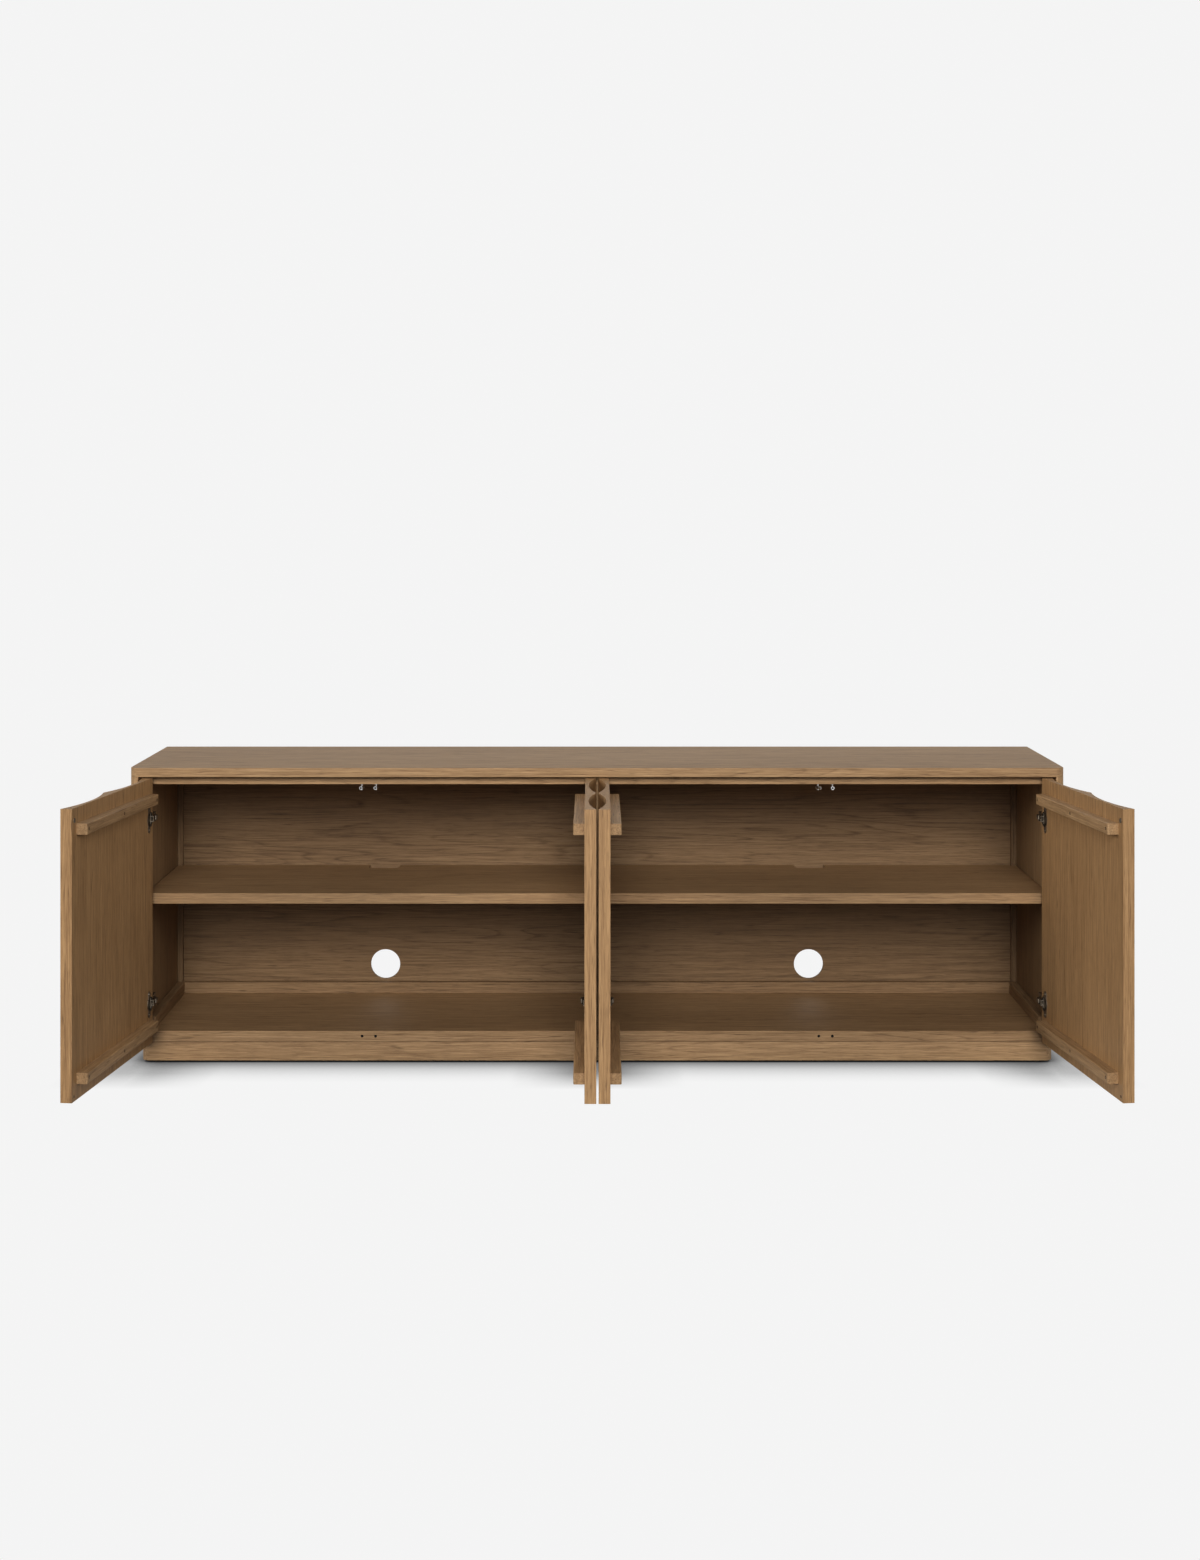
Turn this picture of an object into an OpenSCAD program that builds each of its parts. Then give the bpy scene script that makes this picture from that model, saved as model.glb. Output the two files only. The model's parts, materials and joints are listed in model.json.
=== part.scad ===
// Media cabinet: a long low oak carcass with two bays, four carved doors on concealed hinges,
// two shelves and a recessed plinth. X is the width, +Y the back, +Z up. The origin is on the
// floor under the middle of the cabinet as it stands with all four doors open.

/* [Cabinet] */
// Width over the side panels
cab_w = 2200; // [1800:1:2640]
// Depth from the front edge of the top to the back
cab_d = 457; // [380:1:560]
// Height from the floor to the top
cab_h = 701; // [590:1:850]
// Thickness of the top panel
top_t = 22; // [18:1:30]
// Thickness of each outer side panel
side_t = 20; // [16:1:26]
// Radius of the upright front corners
corner_r = 20; // [10:1:20]
// Thickness of the panel under the top
sub_top_t = 20; // [16:1:26]
// Thickness of the lining of each end
liner_t = 11; // [9:0.5:16]
// Thickness of the centre partition
partition_t = 22; // [22:1:30]
// Thickness of the bottom panel
bottom_t = 25; // [20:1:32]
// Thickness of the back panels
back_t = 9; // [6:0.5:14]

/* [Plinth and feet] */
// Height of the plinth
plinth_h = 46; // [35:1:60]
// Thickness of the plinth rails
plinth_t = 20; // [20:1:28]
// Distance of the plinth behind the cabinet's ends and back
plinth_inset = 22; // [15:1:40]
// Distance of the plinth behind the front of the bottom panel
plinth_setback = 4; // [1:1:20]
// Height of each glide
glide_h = 5; // [4:1:12]
// Diameter of each glide
glide_d = 13; // [10:1:19]
// Distance of the outer glides from the cabinet's ends
glide_end = 60; // [45:1:120]
// Distance of the inner glides from the middle
glide_mid = 390; // [250:1:450]

/* [Shelves] */
// Thickness of each shelf
shelf_t = 25; // [18:1:30]
// Height of the shelves' upper face above the floor
shelf_z = 401; // [330:1:440]
// Gap at each end of a shelf
shelf_gap = 1.5; // [1:0.5:3]
// Gap behind a shelf
shelf_back_gap = 5; // [2:1:12]
// Width of the cable notch
notch_w = 76; // [50:1:110]
// Depth of the cable notch
notch_d = 50; // [30:1:70]
// Radius of the notch's inner corners
notch_r = 18; // [8:1:25]
// Diameter of a shelf pin
pin_d = 5; // [4:0.5:6]
// Length of a shelf pin in the wood
pin_in = 9; // [6:0.5:10]
// Length of a shelf pin under the shelf
pin_out = 9; // [6:0.5:14]
// Distance of the pins from the shelf's front and back edges
pin_edge = 60; // [45:1:100]

/* [Inner trim] */
// Height of the cleats on the bottom panel
cleat_h = 28; // [20:1:34]
// Thickness of the cleats
cleat_t = 20; // [15:1:26]
// Side of the square stiles in the back corners
stile_t = 14; // [12:1:26]
// Gap between a closed door's batten and the side cleats
cleat_gap = 3; // [2:1:60]
// Diameter of the cable hole in each back panel
port_d = 74.5; // [60:0.5:90]
// Height of the cable holes' centres above the floor
port_z = 147; // [143:1:200]

/* [Doors] */
// Thickness of a door at its ridges
door_t = 25; // [22:1:30]
// Gap behind a closed door
door_gap_back = 2.5; // [2:0.5:4]
// Gap beside a closed door at its hinged edge
door_gap_hinge = 2; // [2:0.5:4]
// Gap between the free edges of two closed doors
door_gap_mid = 3; // [2:0.5:5]
// Gap over a closed door
door_gap_top = 3; // [2:0.5:5]
// Distance of a door's lower edge above the plinth
door_gap_bottom = 2; // [1:0.5:5]
// Depth of the carved hollows in a door
hollow_depth = 17; // [8:0.5:17]
// Width of the flat land on each ridge
ridge_land = 3; // [2:0.5:10]
// Opening angle of the end doors
end_door_open = 97; // [90:1:97]
// Opening angle of the centre doors
centre_door_open = 90; // [80:1:90]

/* [Battens] */
// Height of a batten
batten_h = 24; // [18:1:30]
// Thickness of a batten
batten_t = 24; // [16:1:26]
// Distance of a batten's ends from the door's edges
batten_end = 28; // [20:1:50]
// Distance of a batten from the door's upper or lower edge
batten_edge = 34; // [30:1:36]
// Radius of a batten's ends
batten_r = 4; // [3:1:10]
// Distance of the end screws from a batten's ends
batten_screw_end = 12; // [10:1:30]
// Diameter of the screw shanks
screw_d = 4; // [3:0.5:5]
// Diameter of the screw heads
screw_head_d = 7.6; // [6:0.2:9]
// Length of a batten screw's hold in the door
screw_hold = 6; // [4:0.5:6]
// Height of the screw heads
head_t = 2.4; // [1.6:0.2:3]

/* [Hinges] */
// Distance of a hinge's centre from the door's upper or lower edge
hinge_end = 95; // [92:1:160]
// Diameter of the hinge cup
cup_d = 35; // [30:1:40]
// Depth of the hinge cup
cup_depth = 11.5; // [10.5:0.5:12]
// Distance of the cup's bore from the door's hinged edge
cup_edge = 4; // [3.5:0.5:4.5]
// Wall of the hinge cup
cup_wall = 0.8; // [0.6:0.1:1.2]
// Thickness of the cup's flange
flange_t = 1.6; // [1:0.1:2]
// Length of the cup's flange
flange_h = 62; // [58:1:66]
// Distance between the two screws of a flange
flange_screw_gap = 48; // [45:1:50]
// Distance of the door's turning axis from its hinged edge, end doors
end_pole_in = 9; // [8.5:0.5:10]
// Distance of the door's turning axis from its hinged edge, centre doors
centre_pole_in = 5.5; // [5:0.5:6]
// Distance of the door's turning axis behind its outer face
pole_depth = 5; // [4:0.5:5]
// Distance of the link's cup pin from the door's turning axis
pin_reach = 18; // [17.5:0.25:18.5]
// Distance of the arm's nose from the carcass wall
nose_in = 25; // [24:0.5:26]
// Distance of the arm's nose in front of the carcass
nose_out = 3; // [2:0.5:4]
// Height of the hinge arm
arm_h = 10; // [8:0.5:11]
// Thickness of each cheek of the link
cheek_t = 1.5; // [1:0.1:1.6]

/* [Catches] */
// Distance of each catch from the joint between two doors
catch_half = 17; // [14:0.5:24]
// Diameter of the catch's upright post
post_d = 7; // [6:0.5:8]
// Length of the post under the panel
post_drop = 13; // [13:0.5:16]
// Diameter of the swivelling barrel
barrel_d = 8; // [7:0.5:9]
// Swivel of the left bay's barrels
left_swivel = -13; // [-40:1:40]
// Swivel of the right bay's inner barrel
right_swivel = 25; // [-40:1:40]
// Diameter of the small magnets at the foot of the doors
magnet_d = 6.5; // [5:0.5:8]
// Length of the small magnets
magnet_l = 5; // [3:0.5:6]

/* [Hidden] */
$fn = 48;
eps = 0.05;
fit = 0.1;
run = 0.3;
// how far a cutter runs past the face that it opens
past = 1;
oak = "burlywood";
steel = "silver";
bronze = "goldenrod";
dark = "dimgray";
plinth_top = glide_h + plinth_h;
floor_z = plinth_top + bottom_t;
top_z = cab_h - top_t;
roof_z = top_z - sub_top_t;
side_in = cab_w / 2 - side_t;
bay_in = partition_t / 2;
bay_out = side_in - liner_t;
// the doors' sizes follow the opening between the side panels and the gaps round them
door_w = (side_in - 2 * door_gap_hinge - door_gap_mid) / 2;
joint_x = door_gap_hinge + door_w + door_gap_mid / 2;
door_z = plinth_top + door_gap_bottom;
door_h = top_z - door_gap_top - door_z;
recess = door_gap_back + door_t;
pole_v = recess - pole_depth;
// the open centre doors reach furthest forward, and the origin is midway between them and the back
reach = pole_v + door_w - centre_pole_in;
front_y = (reach - cab_d + recess) / 2;
face_y = front_y - recess;
back_y = face_y + cab_d;
inner_back_y = back_y - back_t;
back_joint = 1;
plinth_x = cab_w / 2 - plinth_inset;
plinth_y0 = front_y + plinth_setback;
plinth_y1 = back_y - plinth_inset;
glide_neck_h = 2;
glide_neck_d = glide_d - 5;
shelf_setback = 1;
// a hollow is an arc through its two lands and its deepest line
hollow_w = (door_w - 3 * ridge_land) / 2;
hollow_r = (hollow_w * hollow_w / 4 + hollow_depth * hollow_depth) / (2 * hollow_depth);
batten_l = door_w - 2 * batten_end;
cleat_front = batten_t - door_gap_back + cleat_gap;
cup_r = cup_d / 2;
cup_u = cup_edge + cup_r;
cup_rim = 1;
flange_w = 15;
flange_off = 6;
small_screw_d = 3;
small_head_d = 6.5;
small_head_t = 1.6;
cup_screw_l = 8;
plate_screw_l = 8;
plate_screw_z = 16;
pilot_slack = 1;
hinge_zs = [door_z + hinge_end, door_z + door_h - hinge_end];
plate_t = 3;
plate_front = 18;
plate_back = 70;
plate_wing = 52;
plate_wing_v = 37;
plate_wing_w = 16;
plate_lip = 2;
arm_depth = 9;
arm_tail = 2;
arm_reach = 4;
arm_crank = [10, 12];
nose_r = 3.2;
cheek_gap = 0.4;
link_half = 2.1;
link_neck = 1.7;
rivet_d = 2.4;
knee_share = 0.12;
knee_rise = 5.8;
knee_rod_r = 1.2;
knee_hold = 1;
batten_zs = [door_z + batten_edge, door_z + door_h - batten_edge - batten_h];
strike_d = 11;
strike_t = 1;
catch_z = roof_z - 9;
post_v = -9;
post_shank_d = post_d - 2;
post_shank_l = 11;
post_neck_d = post_d - 4;
post_foot_d = post_d - 1;
post_foot = 1.5;
post_collar = 2;
barrel_front = 9.4;
barrel_back = 6;
pocket = 1;
pocket_d = barrel_d - 3;
magnet_z = plinth_top + bottom_t / 2;
magnet_half = catch_half - 1;
magnet_recess = 1.5;
disc_recess = 0.5;
DOORS = ["left_outer", "left_inner", "right_inner", "right_outer"];
DOOR_PIECES = ["panel", "battens", "batten_screws", "hinge_cups", "cup_screws", "catch_discs"];
CARCASS = [
    "top_panel", "sub_top", "side_panel_left", "side_panel_right", "side_liner_left",
    "side_liner_right", "centre_partition", "bottom_panel", "back_panel_left",
    "back_panel_right", "rear_floor_cleats", "side_floor_cleats", "corner_stiles",
    "plinth_front", "plinth_back", "plinth_left", "plinth_right", "plinth_braces",
    "floor_glides", "shelf_left", "shelf_right", "shelf_pins", "hinge_arms",
    "hinge_plates", "hinge_plate_screws", "catch_posts", "floor_magnets"
];

function is_end(d) = d == "left_outer" || d == "right_outer";
function is_mirrored(d) = d == "left_inner" || d == "right_outer";
function pole_u(d) = door_gap_hinge + (is_end(d) ? end_pole_in : centre_pole_in);
function open_angle(d) = is_end(d) ? end_door_open : centre_door_open;
function wall_u(d) = is_end(d) ? liner_t : partition_t / 2;
function heading(d, p) = atan2(p[1] - pole_v, p[0] - pole_u(d));
function nose(d) = [wall_u(d) + nose_in, nose_out];
// the cup pin lies where the turning door carries it as far from the nose open as closed
function cup_pin(d, turn) =
    let (a = heading(d, nose(d)) + turn)
    [pole_u(d) + pin_reach * cos(a), pole_v + pin_reach * sin(a)];

// A hinge side's own axes: u runs from its wall into the bay, v forward from the carcass front.
module on_side(d) {
    mirror([is_mirrored(d) ? 1 : 0, 0, 0])
    translate([is_end(d) ? -side_in : 0, front_y, 0])
    mirror([0, 1, 0])
    children();
}

// Carries a door's pieces from the closed place to the open one.
module hung(d) {
    on_side(d)
    translate([pole_u(d), pole_v, 0])
    rotate(open_angle(d))
    translate([-pole_u(d), -pole_v, 0])
    children();
}

// A box from one corner to the opposite one.
module slab(from, to) {
    translate(from) cube(to - from);
}

// A board whose two upright front corners are rounded.
module round_front(half_w, y0, y1, z0, z1, r) {
    slab([-half_w + r, y0, z0], [half_w - r, y1, z1]);
    slab([-half_w, y0 + r, z0], [half_w, y1, z1]);
    for (s = [-1, 1])
        translate([s * (half_w - r), y0 + r, z0]) cylinder(r = r, h = z1 - z0, $fn = 96);
}

module top_panel() {
    color(oak) round_front(cab_w / 2, face_y, back_y, top_z, cab_h, corner_r);
}

module sub_top() {
    color(oak)
    difference() {
        slab([-side_in, front_y, roof_z], [side_in, inner_back_y, top_z]);
        catch_places() translate([0, 0, -eps])
            cylinder(d = post_shank_d + fit, h = post_shank_l + pilot_slack + eps);
    }
}

module side_panel_right() {
    color(oak)
    intersection() {
        round_front(cab_w / 2, face_y, back_y, plinth_top, top_z, corner_r);
        slab([side_in, face_y, plinth_top], [cab_w / 2, back_y, top_z]);
    }
}

module side_panel_left() {
    mirror([1, 0, 0]) side_panel_right();
}

// Places something at each shelf pin, with Z pointing out of the wood.
module pin_places(inner, outer) {
    for (s = [-1, 1]) for (y = pin_ys()) {
        if (outer) translate([s * bay_out, y, pin_z()]) rotate([0, -90 * s, 0]) children();
        if (inner) translate([s * bay_in, y, pin_z()]) rotate([0, 90 * s, 0]) children();
    }
}

function pin_ys() = [front_y + pin_edge, inner_back_y - shelf_back_gap - pin_edge];
function pin_z() = shelf_z - shelf_t - pin_d / 2;

module pin_bores(inner, outer) {
    pin_places(inner, outer) translate([0, 0, -pin_in - fit]) cylinder(d = pin_d, h = pin_in + fit + past);
}

// Screw bores of the hinge plates, in a side's own axes.
module plate_bores(d) {
    on_side(d) plate_screw_places(d) translate([0, 0, -plate_screw_l - pilot_slack])
        cylinder(d = small_screw_d + 2 * fit, h = plate_screw_l + pilot_slack + past);
}

module side_liner(d) {
    color(oak)
    difference() {
        on_side(d) slab([0, front_y - inner_back_y, floor_z], [liner_t, 0, roof_z]);
        pin_bores(false, true);
        plate_bores(d);
    }
}

module side_liner_left() {
    side_liner("left_outer");
}

module side_liner_right() {
    side_liner("right_outer");
}

module centre_partition() {
    color(oak)
    difference() {
        slab([-bay_in, front_y, floor_z], [bay_in, inner_back_y, roof_z]);
        pin_bores(true, false);
        plate_bores("left_inner");
        plate_bores("right_inner");
    }
}

module bottom_panel() {
    color(oak)
    difference() {
        slab([-side_in, front_y, plinth_top], [side_in, inner_back_y, floor_z]);
        magnet_places() cylinder(d = magnet_d, h = magnet_l + magnet_recess);
    }
}

// Places something at each magnet in the bottom panel's front edge, with Z pointing into the wood.
module magnet_places() {
    for (s = [-1, 1]) for (t = [-1, 1])
        translate([s * side_in / 2 + t * magnet_half, front_y - eps, magnet_z])
            rotate([-90, 0, 0]) children();
}

module floor_magnets() {
    color(dark) magnet_places() translate([0, 0, magnet_recess]) cylinder(d = magnet_d, h = magnet_l);
}

module back_panel_right() {
    color(oak)
    difference() {
        slab([back_joint / 2, inner_back_y, plinth_top], [side_in, back_y, top_z]);
        translate([side_in / 2, inner_back_y - past, port_z])
            rotate([-90, 0, 0]) cylinder(d = port_d, h = back_t + 2 * past, $fn = 96);
    }
}

module back_panel_left() {
    mirror([1, 0, 0]) back_panel_right();
}

module rear_floor_cleats() {
    color(oak) for (s = [0, 1]) mirror([s, 0, 0])
        slab([bay_in, inner_back_y - cleat_t, floor_z], [bay_out, inner_back_y, floor_z + cleat_h]);
}

module side_floor_cleats() {
    color(oak) for (s = [0, 1]) mirror([s, 0, 0]) for (x = [bay_in, bay_out - cleat_t])
        slab([x, front_y + cleat_front, floor_z],
             [x + cleat_t, inner_back_y - cleat_t, floor_z + cleat_h]);
}

module corner_stiles() {
    color(oak) for (s = [0, 1]) mirror([s, 0, 0]) for (x = [bay_in, bay_out - stile_t])
        slab([x, inner_back_y - stile_t, floor_z + cleat_h], [x + stile_t, inner_back_y, roof_z]);
}

module plinth_front() {
    color(oak)
    intersection() {
        round_front(plinth_x, plinth_y0, plinth_y1, glide_h, plinth_top, plinth_t);
        slab([-plinth_x, plinth_y0, glide_h], [plinth_x, plinth_y0 + plinth_t, plinth_top]);
    }
}

module plinth_back() {
    color(oak) slab([-plinth_x, plinth_y1 - plinth_t, glide_h], [plinth_x, plinth_y1, plinth_top]);
}

module plinth_rail(x0, x1) {
    color(oak) slab([x0, plinth_y0 + plinth_t, glide_h], [x1, plinth_y1 - plinth_t, plinth_top]);
}

module plinth_left() {
    plinth_rail(-plinth_x, -plinth_x + plinth_t);
}

module plinth_right() {
    plinth_rail(plinth_x - plinth_t, plinth_x);
}

module plinth_braces() {
    for (x = [-glide_mid, glide_mid]) plinth_rail(x - plinth_t / 2, x + plinth_t / 2);
}

module floor_glides() {
    color(dark)
    for (x = [-cab_w / 2 + glide_end, -glide_mid, glide_mid, cab_w / 2 - glide_end])
        for (y = [plinth_y0 + plinth_t / 2, plinth_y1 - plinth_t / 2])
            translate([x, y, 0]) {
                cylinder(d = glide_d, h = glide_h - glide_neck_h);
                translate([0, 0, glide_h - glide_neck_h]) cylinder(d = glide_neck_d, h = glide_neck_h);
            }
}

module shelf(s) {
    x0 = bay_in + shelf_gap;
    x1 = bay_out - shelf_gap;
    y1 = inner_back_y - shelf_back_gap;
    mid = side_in / 2;
    corner = stile_t + shelf_gap;
    z0 = shelf_z - shelf_t - past;
    z1 = shelf_z + past;
    n0 = mid - notch_w / 2;
    n1 = mid + notch_w / 2;
    color(oak)
    mirror([s, 0, 0])
    difference() {
        slab([x0, front_y + shelf_setback, shelf_z - shelf_t], [x1, y1, shelf_z]);
        for (x = [bay_in, bay_out - corner])
            slab([x - past, inner_back_y - corner, z0], [x + corner + past, y1 + past, z1]);
        slab([n0, y1 - notch_d + notch_r, z0], [n1, y1 + past, z1]);
        slab([n0 + notch_r, y1 - notch_d, z0], [n1 - notch_r, y1, z1]);
        for (x = [n0 + notch_r, n1 - notch_r])
            translate([x, y1 - notch_d + notch_r, z0]) cylinder(r = notch_r, h = z1 - z0);
    }
}

module shelf_left() {
    shelf(1);
}

module shelf_right() {
    shelf(0);
}

module shelf_pins() {
    color(steel) pin_places(true, true) translate([0, 0, -pin_in])
        cylinder(d = pin_d, h = pin_in + pin_out);
}

// A door panel: a flat inner face and two broad hollows cut along its outer one.
module door_panel(d) {
    u0 = door_gap_hinge;
    outer = recess;
    color(oak)
    hung(d)
    difference() {
        slab([u0, door_gap_back, door_z], [u0 + door_w, outer, door_z + door_h]);
        for (i = [0, 1])
            translate([u0 + ridge_land + hollow_w / 2 + i * (hollow_w + ridge_land),
                       outer - hollow_depth + hollow_r, door_z - past])
                cylinder(r = hollow_r, h = door_h + 2 * past, $fn = 720);
        cup_places() translate([0, 0, -past]) cylinder(r = cup_r + fit, h = cup_depth + fit + past);
        cup_screw_places() translate([0, 0, -past])
            cylinder(d = small_screw_d + fit, h = cup_screw_l + pilot_slack + past);
        batten_screw_places() translate([0, 0, -past])
            cylinder(d = screw_d + fit, h = screw_hold + pilot_slack / 2 + past);
        low_disc_place() translate([0, 0, -past]) cylinder(d = magnet_d + fit, h = magnet_l + past);
    }
}

// Places on a door's inner face, with Z pointing into the door.
module inner_face(u, z) {
    translate([u, door_gap_back, z]) rotate([-90, 0, 0]) children();
}

module cup_places() {
    for (z = hinge_zs) inner_face(door_gap_hinge + cup_u, z) children();
}

module cup_screw_places() {
    for (z = hinge_zs) for (s = [-1, 1])
        inner_face(door_gap_hinge + cup_u + flange_off, z + s * flange_screw_gap / 2) children();
}

module batten_screw_places() {
    for (z = batten_zs) for (k = [-1, 0, 1])
        inner_face(door_gap_hinge + door_w / 2 + k * (batten_l / 2 - batten_screw_end), z + batten_h / 2)
            children();
}

module low_disc_place() {
    inner_face(joint_x - magnet_half, magnet_z) children();
}

module door_battens(d) {
    u0 = door_gap_hinge + batten_end;
    v0 = door_gap_back - batten_t;
    color(oak)
    hung(d)
    difference() {
        for (z = batten_zs) {
            slab([u0, v0 + batten_r, z], [u0 + batten_l, door_gap_back, z + batten_h]);
            slab([u0 + batten_r, v0, z], [u0 + batten_l - batten_r, door_gap_back, z + batten_h]);
            for (u = [u0 + batten_r, u0 + batten_l - batten_r])
                translate([u, v0 + batten_r, z]) cylinder(r = batten_r, h = batten_h);
        }
        batten_screw_places() translate([0, 0, -batten_t - past]) {
            cylinder(d = screw_d + fit, h = batten_t + 2 * past);
            cylinder(d = screw_head_d + 2 * fit, h = head_t + past + fit);
        }
    }
}

module door_batten_screws(d) {
    color(bronze)
    hung(d)
    batten_screw_places() translate([0, 0, -batten_t]) {
        cylinder(d = screw_d, h = batten_t + screw_hold);
        cylinder(d = screw_head_d, h = head_t);
    }
}

// A hinge cup with its flange, and the pin on which the link turns.
module door_hinge_cups(d) {
    pin = cup_pin(d, -open_angle(d) / 2);
    inner_r = cup_r - cup_wall;
    chord = sqrt(inner_r * inner_r - pow(pin[0] - door_gap_hinge - cup_u, 2));
    color(steel)
    hung(d) {
        cup_places()
        difference() {
            union() {
                cylinder(r = cup_r, h = cup_depth);
                translate([0, 0, -flange_t]) cylinder(r = cup_r + cup_rim, h = flange_t);
                translate([flange_off - flange_w / 2, -flange_h / 2 + flange_w / 2, -flange_t])
                    cube([flange_w, flange_h - flange_w, flange_t]);
                for (s = [-1, 1]) translate([flange_off, s * (flange_h - flange_w) / 2, -flange_t])
                    cylinder(d = flange_w, h = flange_t);
            }
            translate([0, 0, -flange_t - past])
                cylinder(r = inner_r, h = cup_depth + flange_t + past - cup_wall);
            for (s = [-1, 1]) translate([flange_off, s * flange_screw_gap / 2, -flange_t - past])
                cylinder(d = small_screw_d + fit, h = flange_t + 2 * past);
        }
        for (z = hinge_zs) translate([pin[0], pin[1], z - chord - eps])
            cylinder(d = rivet_d, h = 2 * (chord + eps));
    }
}

module door_cup_screws(d) {
    color(steel)
    hung(d)
    cup_screw_places() translate([0, 0, -flange_t]) {
        cylinder(d = small_screw_d, h = flange_t + cup_screw_l);
        translate([0, 0, -small_head_t]) cylinder(d = small_head_d, h = small_head_t);
    }
}

// The strike disc for the swivel catch, and the small disc that meets the magnet below.
module door_catch_discs(d) {
    color(steel)
    hung(d) {
        inner_face(joint_x - catch_half, catch_z) translate([0, 0, -strike_t])
            cylinder(d = strike_d, h = strike_t);
        low_disc_place() translate([0, 0, disc_recess]) cylinder(d = magnet_d, h = magnet_l - disc_recess);
    }
}

// One link of a hinge, which the cup pin carries and which straddles the arm's nose.
module hinge_links(d) {
    pin = cup_pin(d, open_angle(d) / 2);
    tip = nose(d);
    run_v = tip - pin;
    len = norm(run_v);
    inner_z = arm_h / 2 + cheek_gap;
    knee = [len * knee_share, knee_rise];
    color(steel)
    on_side(d)
    for (z = hinge_zs)
        translate([pin[0], pin[1], z])
        rotate(atan2(run_v[1], run_v[0])) {
            for (s = [0, 1]) mirror([0, 0, s]) translate([0, 0, inner_z])
                linear_extrude(cheek_t)
                difference() {
                    union() {
                        strip([0, 0], knee);
                        strip(knee, [len, 0]);
                    }
                    circle(d = rivet_d + 2 * run);
                }
            translate([knee[0], knee[1], -inner_z - knee_hold])
                cylinder(r = knee_rod_r, h = 2 * (inner_z + knee_hold));
        }
}

// The outline of a strip between two round eyes, which are a little wider than it.
module strip(a, b) {
    w = b - a;
    for (p = [a, b]) translate(p) circle(link_half);
    translate(a) rotate(atan2(w[1], w[0])) translate([0, -link_neck]) square([norm(w), 2 * link_neck]);
}

// The arms: a straight shank on the mounting plate, cranked forward to a round nose.
module hinge_arms() {
    color(steel)
    for (d = DOORS) on_side(d) for (z = hinge_zs) translate([0, 0, z - arm_h / 2]) {
        tip = nose(d);
        u0 = wall_u(d) + plate_t;
        u1 = u0 + arm_depth;
        n0 = tip[0] - nose_r;
        n1 = tip[0] + nose_r;
        tail = -plate_back + arm_tail;
        linear_extrude(arm_h)
            polygon([[u0, tail], [u0, -plate_front - arm_reach], [n0, -arm_reach], [n0, tip[1]],
                     [n1, tip[1]], [n1, -arm_crank[0]], [u1, -plate_front - arm_crank[1]], [u1, tail]]);
        translate([tip[0], tip[1], 0]) cylinder(r = nose_r, h = arm_h);
    }
}

module hinge_plates() {
    color(steel)
    for (d = DOORS) on_side(d) difference() {
        for (z = hinge_zs) translate([wall_u(d), 0, z]) {
            slab([0, -plate_back, -arm_h / 2 - plate_lip], [plate_t, -plate_front, arm_h / 2 + plate_lip]);
            slab([0, -plate_wing_v - plate_wing_w / 2, -plate_wing / 2],
                 [plate_t, -plate_wing_v + plate_wing_w / 2, plate_wing / 2]);
        }
        plate_screw_places(d) translate([0, 0, -past])
            cylinder(d = small_screw_d + fit, h = plate_t + 2 * past);
    }
}

// Places at the plates' screws, with Z pointing off the wall.
module plate_screw_places(d) {
    for (z = hinge_zs) for (s = [-1, 1])
        translate([wall_u(d), -plate_wing_v, z + s * plate_screw_z]) rotate([0, 90, 0]) children();
}

module hinge_plate_screws() {
    color(steel)
    for (d = DOORS) on_side(d) plate_screw_places(d) {
        translate([0, 0, -plate_screw_l]) cylinder(d = small_screw_d, h = plate_screw_l + plate_t);
        translate([0, 0, plate_t]) cylinder(d = small_head_d, h = small_head_t);
    }
}

// Places on the underside of the sub-top at each catch post.
module catch_places() {
    for (d = DOORS) translate([catch_x(d), front_y - post_v, roof_z]) children();
}

function is_left(d) = d == "left_outer" || d == "left_inner";
function catch_x(d) = (is_left(d) ? -1 : 1) * (side_in / 2 + (is_end(d) ? 1 : -1) * catch_half);

module catch_posts() {
    color(steel)
    catch_places() {
        translate([0, 0, -post_collar]) cylinder(d = post_d, h = post_collar);
        translate([0, 0, -post_drop]) cylinder(d = post_neck_d, h = post_drop);
        translate([0, 0, -post_drop - post_foot]) cylinder(d = post_foot_d, h = post_foot);
        cylinder(d = post_shank_d, h = post_shank_l);
    }
}

function swivel(d) = is_left(d) ? left_swivel : (d == "right_inner" ? right_swivel : 0);

module catch_barrel(d) {
    color(steel)
    translate([catch_x(d), front_y - post_v, catch_z])
    rotate(swivel(d))
    difference() {
        rotate([90, 0, 0]) translate([0, 0, -barrel_back])
            cylinder(d = barrel_d, h = barrel_back + barrel_front);
        rotate([90, 0, 0]) translate([0, 0, barrel_front - pocket])
            cylinder(d = pocket_d, h = pocket + past);
        translate([0, 0, -barrel_d]) cylinder(d = post_neck_d + 2 * run, h = 2 * barrel_d);
    }
}

top_panel();
sub_top();
side_panel_left();
side_panel_right();
side_liner_left();
side_liner_right();
centre_partition();
bottom_panel();
back_panel_left();
back_panel_right();
rear_floor_cleats();
side_floor_cleats();
corner_stiles();
plinth_front();
plinth_back();
plinth_left();
plinth_right();
plinth_braces();
floor_glides();
shelf_left();
shelf_right();
shelf_pins();
hinge_arms();
hinge_plates();
hinge_plate_screws();
catch_posts();
floor_magnets();
for (d = DOORS) {
    door_panel(d);
    door_battens(d);
    door_batten_screws(d);
    door_hinge_cups(d);
    door_cup_screws(d);
    door_catch_discs(d);
    hinge_links(d);
    catch_barrel(d);
}
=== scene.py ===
import json
import math

import bmesh
import bpy
from mathutils import Matrix, Vector


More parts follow.
